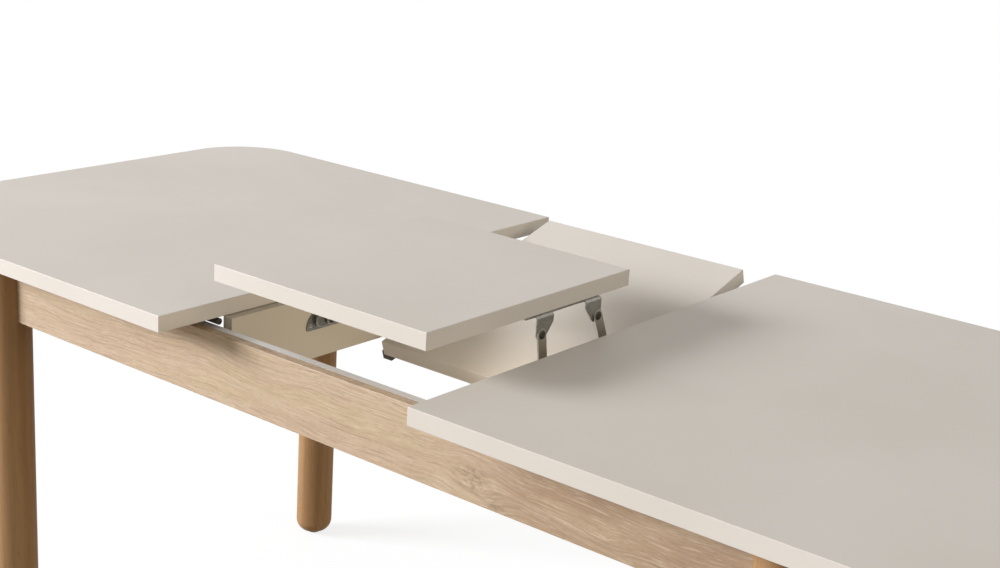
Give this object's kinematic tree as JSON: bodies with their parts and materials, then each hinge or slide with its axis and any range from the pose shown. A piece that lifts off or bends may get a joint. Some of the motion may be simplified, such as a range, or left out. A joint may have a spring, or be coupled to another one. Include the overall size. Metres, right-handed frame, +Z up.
{
  "type": "extending dining table",
  "caption": "Rounded dining table on turned legs, its half tops drawn apart on rails, with a leaf that swings over the gap on arms and a leaf lying tilted in it.",
  "frame": {"origin": "on the floor, below the middle of the table", "axes": "+X along the table towards the right half top, +Y from front to back, +Z up"},
  "size_m": [2.07, 0.9, 0.8312],
  "materials": {
    "lacquer": "matt cashmere lacquer on MDF",
    "lacquer_board": "matt cashmere lacquer on board",
    "oak": "light oak veneer, matt",
    "oak_leg": "turned solid oak, matt oil",
    "block_wood": "bare beech",
    "aluminium": "satin anodised extrusion",
    "nylon": "dark nylon",
    "rubber": "black rubber",
    "zinc_fixing": "zinc plated",
    "steel_pivot": "turned steel",
    "steel": "pressed zinc plated steel"
  },
  "bodies": {
    "frame": {"front_apron": "oak", "back_apron": "oak", "left_end_apron": "oak", "right_end_apron": "oak", "front_left_leg": "oak_leg", "front_right_leg": "oak_leg", "back_left_leg": "oak_leg", "back_right_leg": "oak_leg", "leg_feet": "nylon", "front_left_block": "block_wood", "front_right_block": "block_wood", "back_left_block": "block_wood", "back_right_block": "block_wood", "leg_bolts": "zinc_fixing", "leg_washers": "zinc_fixing", "leg_nuts": "zinc_fixing", "left_cross_board": "lacquer_board", "right_cross_board": "lacquer_board", "left_board_angles": "steel", "right_board_angles": "steel", "angle_screws": "zinc_fixing", "front_rail": "aluminium", "back_rail": "aluminium", "rail_screws": "zinc_fixing", "left_front_pivot_plate": "steel", "right_front_pivot_plate": "steel", "left_back_pivot_plate": "steel", "right_back_pivot_plate": "steel", "pivot_pins": "steel_pivot", "plate_screws": "zinc_fixing"},
    "left_top": {"left_top_panel": "lacquer", "left_front_slider": "aluminium", "left_back_slider": "aluminium", "left_slider_screws": "zinc_fixing", "left_glide_shoes": "nylon", "left_slide_buffers": "rubber"},
    "right_top": {"right_top_panel": "lacquer", "right_front_slider": "aluminium", "right_back_slider": "aluminium", "right_slider_screws": "zinc_fixing", "right_glide_shoes": "nylon", "right_slide_buffers": "rubber"},
    "front_arms": {"left_front_arm": "steel", "right_front_arm": "steel"},
    "rear_arms": {"left_rear_arm": "steel", "right_rear_arm": "steel"},
    "front_leaf": {"front_leaf_panel": "lacquer", "left_front_leaf_bracket": "steel", "right_front_leaf_bracket": "steel", "front_leaf_screws": "zinc_fixing", "front_leaf_rivets": "steel_pivot"},
    "back_arms": {"left_back_arm": "steel", "right_back_arm": "steel"},
    "back_leaf": {"back_leaf_panel": "lacquer", "left_back_leaf_bracket": "steel", "right_back_leaf_bracket": "steel", "back_leaf_screws": "zinc_fixing", "back_leaf_rivets": "steel_pivot", "back_leaf_feet": "rubber"}
  },
  "joints": [
    {"name": "left_top_slide", "type": "slide", "parent": "frame", "child": "left_top", "axis": [1, 0, 0], "range_m": [0, 0.024]},
    {"name": "right_top_slide", "type": "slide", "parent": "frame", "child": "right_top", "axis": [-1, 0, 0], "range_m": [0, 0.024]},
    {"name": "front_leaf_swing", "type": "hinge", "parent": "frame", "child": "front_arms", "pos_m": [0, -0.1338, 0.696], "axis": [1, 0, 0], "range_deg": [-65, 72.63]},
    {"name": "rear_arm_swing", "type": "hinge", "parent": "frame", "child": "rear_arms", "pos_m": [0, -0.0018, 0.696], "axis": [1, 0, 0], "range_deg": [-65, 72.63]},
    {"name": "front_leaf_level", "type": "hinge", "parent": "front_arms", "child": "front_leaf", "pos_m": [0, -0.14702, 0.77946], "axis": [1, 0, 0], "range_deg": [-72.63, 65]},
    {"name": "back_leaf_lift", "type": "hinge", "parent": "frame", "child": "back_arms", "pos_m": [0, 0.3, 0.68834], "axis": [-1, 0, 0], "range_deg": [0, 104.69]},
    {"name": "back_leaf_level", "type": "hinge", "parent": "back_arms", "child": "back_leaf", "pos_m": [0, 0.27421, 0.68158], "axis": [-1, 0, 0], "range_deg": [-87.7, 0]}
  ],
  "couplings": [
    {"joint": "rear_arm_swing", "follows": "front_leaf_swing", "ratio": 1},
    {"joint": "front_leaf_level", "follows": "front_leaf_swing", "ratio": -1},
    {"joint": "back_leaf_level", "follows": "back_leaf_lift", "ratio": -0.83762}
  ]
}
